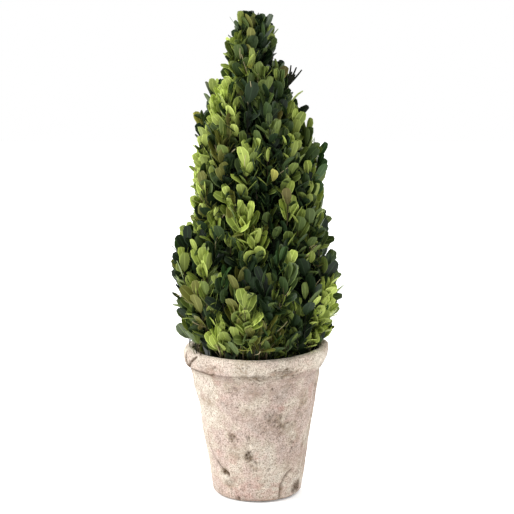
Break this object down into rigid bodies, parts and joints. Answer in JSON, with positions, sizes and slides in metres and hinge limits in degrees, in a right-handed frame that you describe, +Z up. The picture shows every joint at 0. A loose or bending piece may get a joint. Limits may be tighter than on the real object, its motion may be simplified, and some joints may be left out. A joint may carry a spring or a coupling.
{
  "type": "boxwood cone topiary in a clay pot",
  "caption": "Clipped cone-shaped evergreen shrub with small oval leaves, growing on one short stem in a tapered aged clay pot with a folded rim.",
  "frame": {"origin": "centre of the pot's flat underside, on the surface it stands on", "axes": "+Z up along the pot and the crown, -Y towards the side that was pictured"},
  "size_m": [0.1741, 0.1747, 0.508],
  "materials": {
    "aged_clay": "unglazed, whitewashed and weathered",
    "potting_soil": "rough and dark",
    "bark": "finely fissured grey-brown bark",
    "box_leaves": "small leathery leaves, semi-matt"
  },
  "bodies": {
    "root": {"pot": "aged_clay", "soil": "potting_soil", "stem": "bark", "foliage_skirt": "box_leaves", "foliage_lower": "box_leaves", "foliage_middle": "box_leaves", "foliage_upper": "box_leaves", "foliage_tip": "box_leaves"}
  },
  "joints": []
}
